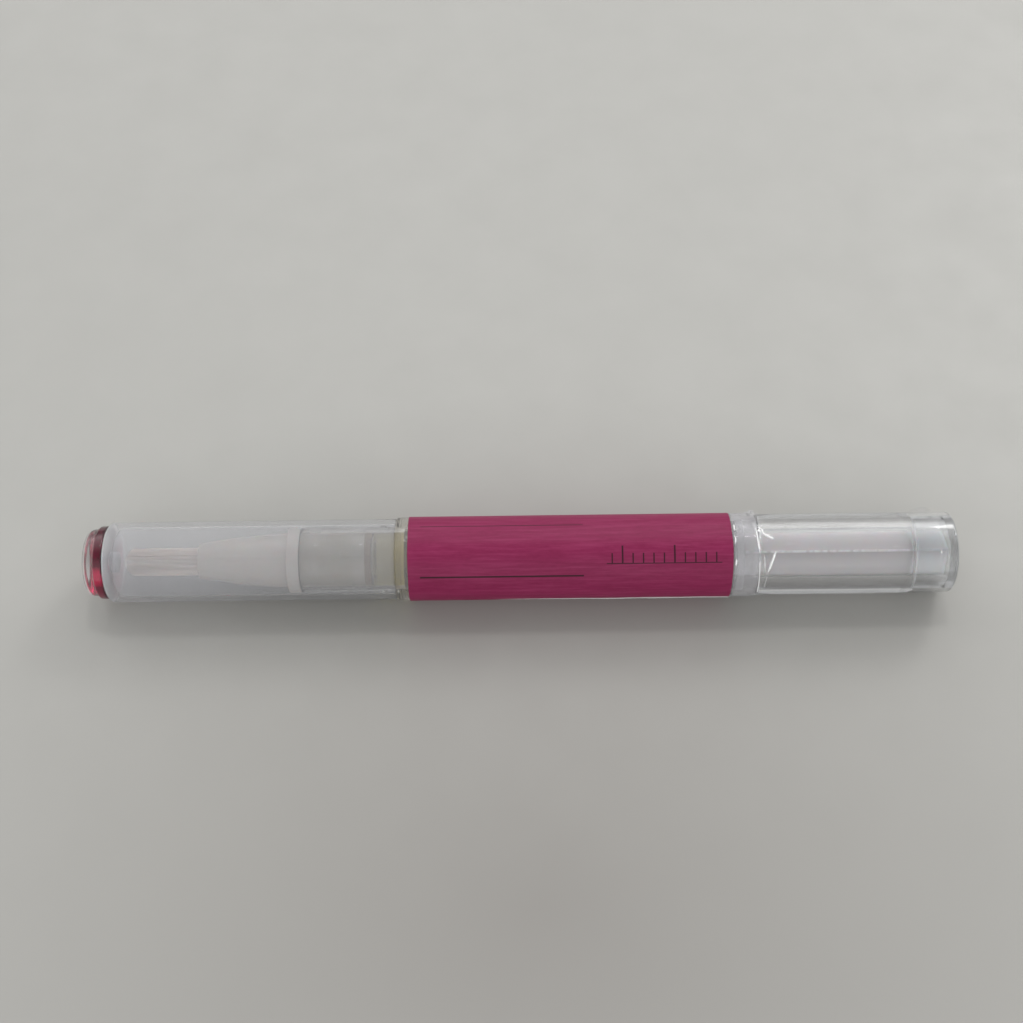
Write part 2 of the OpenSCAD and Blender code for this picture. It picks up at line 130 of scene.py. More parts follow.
def split_long(profile, longest, closed):
    """Adds points to an outline's long straight runs."""
    out = []
    n = len(profile)
    for i in range(n if closed else n - 1):
        p, q = profile[i], profile[(i + 1) % n]
        out.append(p)
        k = int(math.hypot(q[0] - p[0], q[1] - p[1]) // longest)
        for j in range(1, k + 1):
            t = j / (k + 1)
            out.append((p[0] + (q[0] - p[0]) * t, p[1] + (q[1] - p[1]) * t))
    if not closed:
        out.append(profile[-1])
    return out


def bridge(bm, p, q):
    """Faces between two rings of vertices. A ring of one vertex is a pole."""
    n = max(len(p), len(q))
    for i in range(n):
        j = (i + 1) % n
        if len(p) == 1:
            bm.faces.new((p[0], q[i], q[j]))
        elif len(q) == 1:
            bm.faces.new((p[i], p[j], q[0]))
        else:
            bm.faces.new((p[i], p[j], q[j], q[i]))


def lathe(name, profile, segs=160, longest=None, wave=None):
    """Revolves an outline of (r, s) points. It is closed, or it starts and ends on the axis."""
    closed = profile[0][0] > 1e-6
    if longest:
        profile = split_long(profile, longest, closed)
    bm = bmesh.new()
    rings = []
    for r, s in profile:
        if r < 1e-6:
            rings.append([bm.verts.new(place(s, 0, 0))])
            continue
        r += wave(s, r) if wave else 0
        rings.append([bm.verts.new(place(s, r, 2 * math.pi * i / segs)) for i in range(segs)])
    n = len(rings)
    for k in range(n if closed else n - 1):
        bridge(bm, rings[k], rings[(k + 1) % n])
    return finish_mesh(name, bm)


def sheet_faces(bm, low, top, closed):
    """Faces of a thin sheet between its two grids of vertices. A closed sheet goes all the way round."""
    last = len(low) - 1
    cols = len(low[0])
    steps = cols if closed else cols - 1
    for i in range(last):
        for j in range(steps):
            k = (j + 1) % cols
            for g in (low, top):
                bm.faces.new((g[i][j], g[i][k], g[i + 1][k], g[i + 1][j]))
        if not closed:
            for j in (0, cols - 1):
                bm.faces.new((low[i][j], low[i + 1][j], top[i + 1][j], top[i][j]))
    for j in range(steps):
        k = (j + 1) % cols
        for i in (0, last):
            bm.faces.new((low[i][j], low[i][k], top[i][k], top[i][j]))


# ---------------------------------------------------------------- material helpers

def new_material(name):
    m = bpy.data.materials.new(name)
    m.use_nodes = True
    nt = m.node_tree
    nt.nodes.clear()
    out = nt.nodes.new("ShaderNodeOutputMaterial")
    bsdf = nt.nodes.new("ShaderNodeBsdfPrincipled")
    nt.links.new(bsdf.outputs[0], out.inputs["Surface"])
    return m, nt, bsdf


def shader_of(m):
    return [n for n in m.node_tree.nodes if n.type == "BSDF_PRINCIPLED"][0]


def coords(nt, scale=(1, 1, 1)):
    """Object coordinates in millimetres, stretched by scale."""
    tc = nt.nodes.new("ShaderNodeTexCoord")
    mp = nt.nodes.new("ShaderNodeMapping")
    mp.inputs["Scale"].default_value = [1000 * v for v in scale]
    nt.links.new(tc.outputs["Object"], mp.inputs["Vector"])
    return mp.outputs["Vector"]


def noise_tex(nt, vector, scale, detail=3, rough=0.5):
    n = nt.nodes.new("ShaderNodeTexNoise")
    n.inputs["Scale"].default_value = scale
    n.inputs["Detail"].default_value = detail
    n.inputs["Roughness"].default_value = rough
    nt.links.new(vector, n.inputs["Vector"])
    return n.outputs["Fac"]


def calc(nt, op, a, b=None):
    """Math node: a and b are numbers or sockets."""
    n = nt.nodes.new("ShaderNodeMath")
    n.operation = op
    for i, v in enumerate((a, b)):
        if v is None:
            continue
        if isinstance(v, (int, float)):
            n.inputs[i].default_value = v
        else:
            nt.links.new(v, n.inputs[i])
    return n.outputs[0]


def product(nt, a, b):
    return calc(nt, "MULTIPLY", a, b)


def largest(nt, *values):
    out = values[0]
    for v in values[1:]:
        out = calc(nt, "MAXIMUM", out, v)
    return out


def off_by(nt, x, mid):
    """Distance of x from mid."""
    return calc(nt, "ABSOLUTE", calc(nt, "SUBTRACT", x, mid))


def span(nt, value, lo, hi, a, b):
    """Maps value from lo..hi to a..b, and holds it there outside."""
    m = nt.nodes.new("ShaderNodeMapRange")
    for name, v in (("From Min", lo), ("From Max", hi), ("To Min", a), ("To Max", b)):
        m.inputs[name].default_value = v
    nt.links.new(value, m.inputs["Value"])
    return m.outputs["Result"]


def within(nt, x, mid, half, soft=0.04):
    """1 where x is less than half away from mid, and 0 elsewhere."""
    return span(nt, off_by(nt, x, mid), half - soft, half + soft, 1.0, 0.0)


def mixed(nt, fac, a, b):
    """Colour between a and b, which are colours or sockets."""
    m = nt.nodes.new("ShaderNodeMix")
    m.data_type = "RGBA"
    nt.links.new(fac, m.inputs["Factor"])
    for name, v in (("A", a), ("B", b)):
        sock = [i for i in m.inputs if i.name == name and i.type == "RGBA"][0]
        if isinstance(v, (tuple, list)):
            sock.default_value = (*v[:3], 1)
        else:
            nt.links.new(v, sock)
    return [o for o in m.outputs if o.type == "RGBA"][0]


def bump(nt, bsdf, height, strength, distance):
    """Fine relief of the surface; distance is in millimetres."""
    b = nt.nodes.new("ShaderNodeBump")
    b.inputs["Strength"].default_value = strength
    b.inputs["Distance"].default_value = distance * MM
    nt.links.new(height, b.inputs["Height"])
    nt.links.new(b.outputs["Normal"], bsdf.inputs["Normal"])


def pen_coords(nt):
    """Station and angle, in millimetres and degrees, of the point that is shaded."""
    sep = nt.nodes.new("ShaderNodeSeparateXYZ")
    nt.links.new(coords(nt), sep.inputs[0])
    s = calc(nt, "ADD", sep.outputs["X"], HALF)
    up = calc(nt, "SUBTRACT", sep.outputs["Z"], AXIS_H)
    away = product(nt, sep.outputs["Y"], -1.0)
    return s, product(nt, calc(nt, "ARCTAN2", up, away), 180 / math.pi)


def plastic(name, c1, c2, rough, grain=2.0, stretch=(1, 1, 1), bump_mm=0.01, bump_strength=0.2, **sockets):
    """Moulded plastic: two close colours in soft patches, uneven gloss and a faint surface grain."""
    m, nt, bsdf = new_material(name)
    v = coords(nt, stretch)
    patches = noise_tex(nt, v, grain * 0.25, 2)
    fine = noise_tex(nt, v, grain, 4)
    nt.links.new(mixed(nt, patches, c1, c2), bsdf.inputs["Base Color"])
    nt.links.new(span(nt, fine, 0.3, 0.7, rough[0], rough[1]), bsdf.inputs["Roughness"])
    if bump_mm:
        bump(nt, bsdf, fine, bump_strength, bump_mm)
    for k, val in sockets.items():
        bsdf.inputs[k.replace("_", " ")].default_value = val
    return m


def along_pen(m, socket, steps):
    """Makes a shader value change along the pen: steps are (station, value), lowest station first."""
    nt = m.node_tree
    s, _ = pen_coords(nt)
    value = None
    for (s0, v0), (s1, v1) in zip(steps, steps[1:]):
        part = span(nt, s, s0, s1, 0.0 if value else v0, v1 - v0 if value else v1)
        value = calc(nt, "ADD", value, part) if value else part
    nt.links.new(value, shader_of(m).inputs[socket])
    return value


def recolour(m, mask, colour):
    """Another base colour where mask is 1."""
    base = shader_of(m).inputs["Base Color"]
    m.node_tree.links.new(mixed(m.node_tree, mask, base.links[0].from_socket, colour), base)


def recolour_behind(m, s0, s1, colour):
    """Another base colour towards the pen's rear end, blended in between two stations."""
    nt = m.node_tree
    recolour(m, span(nt, pen_coords(nt)[0], s0, s1, 0.0, 1.0), colour)


def paint_glow_stripes(m, spots, colour):
    """Painted glow: another base colour in stripes along the pen: (middle angle, half width) in degrees."""
    nt = m.node_tree
    _, deg = pen_coords(nt)
    recolour(m, largest(nt, *[within(nt, deg, mid, half, half * 0.45) for mid, half in spots]), colour)


# ---------------------------------------------------------------- materials

m_dome = plastic("clear_acrylic", (0.97, 0.96, 0.965), (0.94, 0.92, 0.93), (0.01, 0.05), grain=1.2,
                 Transmission_Weight=0.95, IOR=1.49)

# painted glow: the disc's base colour is bright red in two stripes, low at the front and underneath, where light
# would gather in it; its stem in the cap shows no red
m_disc = plastic("red_acrylic", (0.08, 0.0, 0.015), (0.05, 0.0, 0.012), (0.02, 0.07), grain=1.5,
                 Transmission_Weight=1.0, IOR=1.5, Coat_Weight=0.35, Coat_IOR=1.5, Coat_Roughness=0.04)
paint_glow_stripes(m_disc, [(36, 12), (-112, 44)], (1.0, 0.0, 0.12))
recolour_behind(m_disc, S_CAP + 0.02, S_CAP + 0.1, (0.47, 0.465, 0.48))
along_pen(m_disc, "Transmission Weight", [(S_CAP + 0.02, 1.0), (S_CAP + 0.1, 0.0)])

m_cap = plastic("frosted_shell", (0.88, 0.885, 0.9), (0.84, 0.845, 0.865), (0.08, 0.16), grain=1.1,
                stretch=(0.12, 1, 1), bump_mm=0.02, bump_strength=0.04, IOR=1.03, Coat_Weight=0.06,
                Coat_Roughness=0.12)
# the cap is less clear at its closed end, which shows as a pale rim next to the disc: partly frosting, partly a
# painted highlight on the rounded rim
along_pen(m_cap, "Transmission Weight", [(S_CAP + 0.1, 0.5), (S_CAP + 0.4, 0.82), (9.0, 0.86)])

m_ferrule = plastic("white_moulding", (0.49, 0.455, 0.42), (0.43, 0.395, 0.36), (0.25, 0.42), grain=1.6,
                    stretch=(0.3, 1, 1), bump_mm=0.02, bump_strength=0.3, Subsurface_Weight=0.25,
                    Subsurface_Scale=0.0015)
recolour_behind(m_ferrule, S_NECK - 0.05, S_NECK + 0.15, (0.4, 0.365, 0.315))

# the coat makes two of the neck's rings glossy, and the rest a little
m_barrel = plastic("natural_plastic", (0.89, 0.875, 0.835), (0.84, 0.815, 0.765), (0.08, 0.16), grain=1.5,
                   bump_mm=0.02, bump_strength=0.25, IOR=1.15, Coat_Roughness=0.06)
along_pen(m_barrel, "Transmission Weight", [(S_BAND - 0.15, 0.95), (S_BAND + 0.05, 0.88), (80.0, 0.88), (94.0, 0.82)])
along_pen(m_barrel, "Coat Weight", [(33.0, 0.1), (33.2, 1.0), (34.8, 1.0), (35.0, 0.1), (39.5, 0.1), (39.7, 1.0),
                                    (41.3, 1.0), (41.5, 0.1), (46.0, 0.1), (48.0, 0.25)])
recolour_behind(m_barrel, 93.5, 95.0, (0.75, 0.74, 0.76))

m_knob = plastic("clear_tube", (0.98, 0.985, 0.995), (0.95, 0.96, 0.98), (0.0, 0.03), grain=0.7,
                 stretch=(0.2, 1, 1), bump_mm=0.02, bump_strength=0.12, Transmission_Weight=1.0, IOR=1.49)

m_plug = plastic("clear_plug", (0.98, 0.985, 0.99), (0.96, 0.965, 0.97), (0.0, 0.04), grain=1.2, bump_mm=0.02,
                 bump_strength=0.15, IOR=1.4)
# the plug is less clear at its front face, which shows as a white ring there: a painted highlight
along_pen(m_plug, "Transmission Weight", [(S_END_PLUG + 0.15, 0.35), (S_END_PLUG + 0.35, 0.97)])

# the tube's pinkish tint is painted light, bounced from the pink label
m_tube = plastic("milky_tube", (0.69, 0.65, 0.65), (0.62, 0.58, 0.585), (0.16, 0.28), grain=1.4,
                 stretch=(0.15, 1, 1), bump_mm=0.04, bump_strength=0.4, Subsurface_Weight=0.3, Subsurface_Scale=0.001)


def tube_painted_light(m):
    """Painted light on the tube: painted shade makes it darker on the side towards the viewer, and it is painted
    lighter in the end plug, where light comes through the clear plug. A painted highlight runs as a dotted light line
    along its upper corner, and its corners and ends are painted light in the plug as highlights."""
    nt = m.node_tree
    s, deg = pen_coords(nt)
    painted_glint = (1.0, 1.0, 1.0)
    # painted shade on the side towards the viewer
    recolour(m, within(nt, deg, 20, 44, 1.0), (0.585, 0.55, 0.55))
    # painted light in the end plug, where light comes through the clear plug
    in_plug = within(nt, s, S_END_PLUG + 3.15, 3.0, 0.2)
    recolour(m, in_plug, (0.86, 0.84, 0.84))
    # painted highlight: a dotted light line along the upper corner
    dots = span(nt, noise_tex(nt, coords(nt, (1, 0, 0)), 1.6, 2), 0.4, 0.55, 0.3, 1.0)
    painted_corner_highlight = product(nt, within(nt, deg, TUBE_TURN, 2.6, 1.0), dots)
    # painted highlights on the tube's corners and ends inside the plug
    ends = [within(nt, s, mid, 0.22, 0.1) for mid in (S_END_PLUG + 0.7, S_TUBE_END - 0.2)]
    corners = [within(nt, deg, mid, 3.0, 1.0) for mid in (-24, TUBE_TURN, 152)]
    outline = product(nt, in_plug, largest(nt, *ends, *corners))
    recolour(m, largest(nt, painted_corner_highlight, outline), painted_glint)


tube_painted_light(m_tube)

m_white = plastic("white_fitting", (0.56, 0.56, 0.57), (0.5, 0.5, 0.51), (0.3, 0.45))
m_acetal = plastic("acetal", (0.72, 0.72, 0.72), (0.66, 0.66, 0.66), (0.22, 0.35), grain=2.2)
m_seal = plastic("seal_rubber", (0.2, 0.1, 0.03), (0.15, 0.08, 0.025), (0.45, 0.6), grain=3.0)
m_bristle = plastic("nylon_bristle", (0.84, 0.74, 0.69), (0.74, 0.64, 0.59), (0.3, 0.5), grain=6.0,
                    stretch=(0.1, 1, 1), Subsurface_Weight=0.15, Subsurface_Scale=0.0005)
m_oil = plastic("oil", (0.93, 0.84, 0.42), (0.9, 0.79, 0.36), (0.0, 0.02), grain=0.3, bump_mm=0,
                Transmission_Weight=1.0, IOR=1.24)
m_steel = plastic("spring_steel", (0.55, 0.55, 0.57), (0.45, 0.45, 0.47), (0.22, 0.36), grain=4.0,
                  stretch=(8, 1, 1), bump_mm=0.005, Metallic=1.0)


def film_material():
    """Thin clear film: it mirrors, more so at a glancing angle, its creases are painted white as glints, and over the
    collar a faint veil lies on it."""
    m, nt, bsdf = new_material("shrink_film")
    # the crease attribute holds each crease's painted glint; there the film is painted white and not mirrored
    crease = nt.nodes.new("ShaderNodeAttribute")
    crease.attribute_name = "crease"
    painted_glint = crease.outputs["Fac"]
    tint = mixed(nt, noise_tex(nt, coords(nt), 0.4, 2), (0.93, 0.935, 0.96), (0.86, 0.865, 0.89))
    nt.links.new(mixed(nt, painted_glint, tint, (1.0, 1.0, 1.0)), bsdf.inputs["Base Color"])
    bump(nt, bsdf, noise_tex(nt, coords(nt, (0.5, 1, 1)), 0.9, 3), 0.5, 0.09)
    facing = nt.nodes.new("ShaderNodeLayerWeight")
    facing.inputs["Blend"].default_value = 0.5
    mirror = calc(nt, "ADD", product(nt, calc(nt, "POWER", facing.outputs["Facing"], 5.0), 0.3), 0.04)
    over_collar, over_knob = 0.35, 0.9
    metal = along_pen(m, "Metallic", [(98.6, over_collar), (99.6, over_knob)])
    nt.links.new(product(nt, metal, calc(nt, "SUBTRACT", 1.0, painted_glint)), bsdf.inputs["Metallic"])
    streaks = noise_tex(nt, coords(nt, (1.6, 0.25, 0.25)), 1.1, 4, 0.6)
    veil = product(nt, span(nt, metal, over_collar, over_knob, 0.12, 0.0), span(nt, streaks, 0.35, 0.65, 0.35, 1.0))
    nt.links.new(largest(nt, calc(nt, "ADD", mirror, veil), painted_glint), bsdf.inputs["Alpha"])
    along_pen(m, "Roughness", [(100.6, 0.07), (103.0, 0.26), (119.6, 0.26), (121.2, 0.08)])
    return m


m_film = film_material()


def label_material():
    """Glossy pink print with two dark rules and a plain tick scale, and a pale margin low at the front."""
    m, nt, bsdf = new_material("pink_print")
    s, deg = pen_coords(nt)
    arc_mm = product(nt, deg, math.pi / 180 * R_LABEL)

    def around(mid, half):
        """Stripe along the pen at an angle in degrees; its half width is in millimetres."""
        return within(nt, arc_mm, math.radians(mid) * R_LABEL, half)

    def lines(pitch, lo, hi):
        """Lines across the pen; lo and hi are the soft edge of half a line, as parts of the pitch."""
        phase = calc(nt, "FRACT", calc(nt, "DIVIDE", s, pitch))
        return span(nt, off_by(nt, phase, 0.5), lo, hi, 1.0, 0.0)

    rules = product(nt, within(nt, s, 61.4, 11.8), largest(nt, around(33.5, 0.13), around(108, 0.06)))
    ticks = largest(nt, product(nt, lines(1.5, 0.045, 0.085), around(57, 0.75)),
                    product(nt, lines(7.5, 0.012, 0.02), around(62, 1.3)))
    scale = largest(nt, product(nt, within(nt, s, 84.75, 8.6), ticks),
                    product(nt, within(nt, s, 84.75, 8.3), around(50, 0.07)))
    ink = product(nt, largest(nt, rules, scale), 0.92)

    patches = noise_tex(nt, coords(nt, (0.35, 1, 1)), 0.6, 4)
    fine = noise_tex(nt, coords(nt, (0.3, 1, 1)), 3.0, 5, 0.6)
    streaks = noise_tex(nt, coords(nt, (0.06, 1, 1)), 2.2, 4, 0.65)
    pink = mixed(nt, span(nt, patches, 0.3, 0.7, 0, 1), (0.22, 0.0128, 0.068), (0.196, 0.0098, 0.057))
    pink = mixed(nt, span(nt, fine, 0.35, 0.75, 0, 0.35), pink, (0.3, 0.026, 0.1))
    pink = mixed(nt, span(nt, streaks, 0.45, 0.75, 0, 0.5), pink, (0.34, 0.045, 0.13))
    print_colour = mixed(nt, ink, pink, (0.02, 0.004, 0.008))
    wobble = span(nt, noise_tex(nt, coords(nt, (1, 0, 0)), 0.12, 2), 0.3, 0.7, -1.6, 1.6)
    margin = product(nt, within(nt, calc(nt, "ADD", deg, wobble), -24.6, 4.6, 0.3), span(nt, s, 60.0, 63.5, 0, 1))
    nt.links.new(mixed(nt, margin, print_colour, (0.62, 0.61, 0.6)), bsdf.inputs["Base Color"])

    nt.links.new(span(nt, fine, 0.3, 0.7, 0.42, 0.55), bsdf.inputs["Roughness"])
    bsdf.inputs["Specular IOR Level"].default_value = 0.22
    bump(nt, bsdf, noise_tex(nt, coords(nt, (0.25, 1, 1)), 0.9, 3), 0.25, 0.06)
    return m


m_label = label_material()


def floor_material():
    """Pale worktop with very faint mottling, and a painted shadow: darker in a broad patch in front of the pen."""
    m, nt, bsdf = new_material("pale_worktop")
    here = nt.nodes.new("ShaderNodeTexCoord").outputs["Object"]
    broad = noise_tex(nt, here, 6.0, 3)
    fine = noise_tex(nt, here, 90.0, 5, 0.6)
    col = mixed(nt, span(nt, broad, 0.3, 0.7, 0, 1), (0.462, 0.459, 0.437), (0.446, 0.443, 0.421))
    col = mixed(nt, span(nt, fine, 0.35, 0.7, 0, 0.5), col, (0.433, 0.43, 0.409))
    squeeze = nt.nodes.new("ShaderNodeMapping")
    squeeze.inputs["Scale"].default_value = (0.8, 1, 1)
    far = nt.nodes.new("ShaderNodeVectorMath")
    far.operation = "DISTANCE"
    far.inputs[1].default_value = (0.002, -0.05, 0)
    nt.links.new(here, squeeze.inputs["Vector"])
    nt.links.new(squeeze.outputs["Vector"], far.inputs[0])
    # painted shadow: a broad dark patch in front of the pen
    painted_shadow = span(nt, far.outputs["Value"], 0.0, 0.085, 1.0, 0.0)
    nt.links.new(mixed(nt, painted_shadow, col, (0.312, 0.3, 0.283)), bsdf.inputs["Base Color"])
    nt.links.new(span(nt, fine, 0.3, 0.7, 0.42, 0.55), bsdf.inputs["Roughness"])
    bsdf.inputs["Specular IOR Level"].default_value = 0.3
    return m


def dress(obj, material, body, slot, *nodes):
    """Gives a piece its material, hides the CAD nodes that it replaces and attaches it to the body that it moves
    with. The slot argument is not used.
    """
    obj.data.materials.clear()
    obj.data.materials.append(material)
    if nodes:
        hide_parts(*nodes)
    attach(obj, body)
    return obj


# ---------------------------------------------------------------- cap and its jewel

dome = [(3.85 * i / 10, 0.45 * (i / 10) ** 2) for i in range(11)]
dome += arc(3.85, 1.55, 1.1, -90, 0, 12)[1:] + [(4.95, 2.2), (4.86, S_DISC - 0.02), (0, S_DISC - 0.02)]
dress(lathe("dome_jewel", dome), m_dome, "cap", "clear_plastic", "end_dome")

disc = [(0, S_DISC)] + arc(5.1, S_DISC + 0.3, 0.3, -90, 0) + arc(5.1, S_CAP - 0.3, 0.3, 0, 90)
disc += [(1.5, S_CAP), (1.5, S_CAP + 0.85), (1.4, S_CAP + 0.9), (0, S_CAP + 0.9)]
dress(lathe("red_disc", disc), m_disc, "cap", "red_clear_plastic", "end_disc")

inner = S_CAP + 1.3
cap = [(0, S_CAP + 0.95), (R_STEM_HOLE, S_CAP + 0.95), (R_STEM_HOLE, S_CAP + 0.03)]
cap += arc(R_CAP - 0.8, S_CAP + 0.83, 0.8, -90, 0)
cap += [(R_CAP, S_RIM - 0.12), (R_CAP - 0.06, S_RIM), (5.25, S_RIM), (5.0, S_RIM - 0.25)]
cap += arc(4.0, inner + 1.0, 1.0, 0, -90) + [(0, inner)]
dress(lathe("frosted_cap", cap, longest=4), m_cap, "cap", "frosted_plastic", "cap_shell")

# ---------------------------------------------------------------- applicator


def bristle_tuft():
    """Fine tapered filaments in rings round the feed tube, splayed and cut a little unevenly."""
    bm = bmesh.new()
    root = S_FERRULE + 3
    first, last, pitch = 4, 11, 0.18
    sides, pieces = 5, 8
    for k in range(first, last + 1):
        for i in range(6 * k):
            a = 2 * math.pi * (i + rnd.uniform(-0.2, 0.2)) / (6 * k)
            r0 = pitch * k + rnd.uniform(-0.015, 0.015)
            tip = S_TIP + (0.9 * ((k - first) / (last - first)) ** 2 + rnd.uniform(0, 0.35))
            lean = rnd.uniform(-0.05, 0.06) if k < last else rnd.uniform(-0.09, 0.03)
            side = rnd.uniform(-0.03, 0.03)
            rings = []
            for j in range(pieces + 1):
                t = j / pieces
                bend = max(0.0, (t - 0.2) / 0.8) ** 2
                mid = place(root + (tip - root) * t, r0 + lean * bend, a + side * bend / max(r0, 0.5))
                thick = 0.062 * (1 - 0.55 * t ** 3)
                ring = []
                for q in range(sides):
                    b = 2 * math.pi * q / sides
                    y, z = thick * math.cos(b), thick * math.sin(b)
                    ring.append(bm.verts.new(mid + Vector((0, y * MM, z * MM))))
                if rings:
                    bridge(bm, rings[-1], ring)
                rings.append(ring)
            bm.faces.new(rings[0])
            bm.faces.new(rings[-1])
    return finish_mesh("bristle_tuft", bm, 60)


dress(bristle_tuft(), m_bristle, "barrel", "nylon_bristle", "bristles")

ferrule = [(R_FEED_SEAT, S_FERRULE + 3.2), (R_SOCKET, S_FERRULE + 3.2), (R_SOCKET, S_FERRULE + 0.12),
           (R_SOCKET + 0.1, S_FERRULE)]
ferrule += [(2.6 + 1.35 * math.sin(math.pi / 2 * i / 20), S_FERRULE + NOSE_LENGTH * i / 20) for i in range(21)]
ferrule += [(4.75, S_FLANGE), (4.8, S_FLANGE + 0.06), (4.8, S_NECK - 0.06), (4.74, S_NECK), (R_PLUG, S_NECK),
            (R_PLUG, S_SEAL), (R_PLUG_TIP, S_SEAL), (R_PLUG_TIP, S_PLUG_END), (R_CUP, S_PLUG_END),
            (R_CUP, S_NECK), (R_FEED_SEAT, S_NECK)]
dress(lathe("brush_nose", ferrule, longest=3), m_ferrule, "barrel", "white_plastic", "brush_ferrule")

# ---------------------------------------------------------------- barrel, oil and label


def fine_rings(s, r):
    """Height of the fine moulded rings on the bare band and the collar."""
    ringed = S_BAND + 0.4 < s < S_LABEL - 0.1 or S_COLLAR < s < S_BARREL_END - 0.4
    return 0.012 * math.sin(s * 2 * math.pi / 0.42) if r >= 6.0 and ringed else 0


def rows(a, b):
    """Close points along the barrel between two stations, for its fine rings."""
    n = max(1, int(abs(b - a) / 0.06))
    return [(R_BARREL, a + (b - a) * i / n) for i in range(1, n)]


barrel = [(R_NECK_BORE, S_NECK), (R_NECK, S_NECK)]
for mid, high in NECK_RINGS:
    barrel += [(R_NECK + high * math.cos(math.pi / 8 * i) ** 2, mid + 0.22 * i) for i in range(-4, 5)]
barrel += [(R_NECK, S_BEAD - 0.6), (R_NECK + 0.2, S_BEAD - 0.3), (R_NECK + 0.2, S_BEAD + 0.3), (R_NECK, S_BEAD + 0.6),
           (R_NECK, S_BAND)]
barrel += arc(R_BARREL - 0.3, S_BAND + 0.3, 0.3, -90, 0)
barrel += rows(S_BAND + 0.3, S_LABEL + 0.2) + [(R_BARREL, S_LABEL + 0.2), (R_BARREL, S_LABEL_END - 0.2)]
barrel += rows(S_LABEL_END - 0.2, S_BARREL_END - 0.3)
barrel += arc(R_BARREL - 0.3, S_BARREL_END - 0.3, 0.3, 0, 90)
barrel += [(R_BORE, S_BARREL_END), (R_BORE, S_CLIP + 1.05), (R_CLIP_SEAT, S_CLIP + 1.05),
           (R_CLIP_SEAT, S_CLIP - 0.05), (R_BORE, S_CLIP - 0.05), (R_BORE, S_BORE), (R_NECK_BORE, S_FUNNEL)]
dress(lathe("oil_barrel", barrel, segs=144, wave=fine_rings), m_barrel, "barrel", "natural_plastic", "barrel")

# the oil in the neck and the oil in the bore are separate pieces, and the bore's piece gets a mesh of its own
GAP = 0.02
oil_neck = [(0, S_NECK + GAP), (R_CUP - GAP, S_NECK + GAP), (R_CUP - GAP, S_PLUG_END + GAP),
            (R_NECK_BORE - GAP, S_PLUG_END + GAP), (R_NECK_BORE - GAP, S_FUNNEL + GAP), (R_BORE - GAP, S_BORE + GAP),
            (0, S_BORE + GAP)]
dress(lathe("oil_neck", oil_neck), m_oil, "barrel", "oil", "oil_fill")
oil_start, oil_end = S_BORE + 0.03, S_PISTON - GAP
oil_bore = [(0, oil_start), (R_BORE - GAP, oil_start), (R_BORE - GAP, oil_end), (0, oil_end)]
oil_piece = dress(lathe("oil_bore", oil_bore, longest=4), m_oil, "barrel", "oil", "oil_fill")
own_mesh(oil_piece)


def wrapped_label():
    """Film label whose cut edges meet low at the front, lifted a little along the rear half."""
    seam = math.radians(-28)
    gap = 0.35 / R_LABEL
    bm = bmesh.new()
    ns, na = 156, 220
    grids = []
    for r0 in (6.12, 6.185):
        grid = []
        for i in range(ns + 1):
            s = S_LABEL + (S_LABEL_END - S_LABEL) * i / ns
            row = []
            for j in range(na + 1):
                t = j / na
                a = seam + gap / 2 + (2 * math.pi - gap) * t
                near = max(0.0, 1 - t * 36)
                far = max(0.0, 1 - (1 - t) * 30)
                run = clamped((s - 63) / 9)
                lift = 0.15 * near ** 2 * run * (0.6 + 0.6 * noise.noise(Vector((s * 0.16, 3.1, 0))))
                lift += 0.05 * far ** 2 * (0.5 + 0.5 * noise.noise(Vector((s * 0.3, 8.1, 0))))
                edge = max(0.0, 1 - min(s - S_LABEL, S_LABEL_END - s) / 0.5)
                lift += 0.015 * edge * (1 + noise.noise(Vector((a * 2.2, s, 1.7))))
                end = 0.06 * noise.noise(Vector((a * 1.3, 4.4, i // ns))) if i in (0, ns) else 0
                row.append(bm.verts.new(place(s + end, r0 + max(0.0, lift), a)))
            grid.append(row)
        grids.append(grid)
    sheet_faces(bm, *grids, closed=False)
    return finish_mesh("wrapped_label", bm, 45)


dress(wrapped_label(), m_label, "barrel", "printed_film", "label")

# ---------------------------------------------------------------- twist knob, plug and push tube

knob = [(R_KNOB_BORE, S_HUB), (3.95, S_HUB), (3.95, S_HUB + 2.2), (R_HUB, S_HUB + 2.2), (R_HUB, S_CLIP - 0.05),
        (R_CLIP, S_CLIP - 0.05), (R_CLIP, S_CLIP + 1.05), (R_HUB, S_CLIP + 1.05), (R_HUB, S_KNOB)]
knob += arc(R_KNOB - 0.3, S_KNOB + 0.3, 0.3, -90, 0) + arc(R_KNOB - 0.5, S_END - 0.5, 0.5, 0, 90)
knob += [(5.37, S_END), (5.37, S_END_PLUG), (R_KNOB_BORE, S_END_PLUG)]
dress(lathe("clear_knob", knob, segs=192, longest=4), m_knob, "knob", "clear_plastic", "twist_knob")

plug = [(0, S_END - 0.4), (1.62, S_END - 0.4), (1.62, S_END - 0.9), (R_KNOB_BORE, S_END - 0.9)]
plug += [(R_KNOB_BORE, S_END_PLUG + 0.02), (5.2, S_END_PLUG + 0.02), (5.35, S_END_PLUG + 0.2)]
plug += [(5.35, S_END - 0.1), (5.25, S_END - 0.01), (0, S_END - 0.01)]
dress(lathe("clear_plug", plug, segs=192), m_plug, "knob", "clear_plastic", "end_plug")


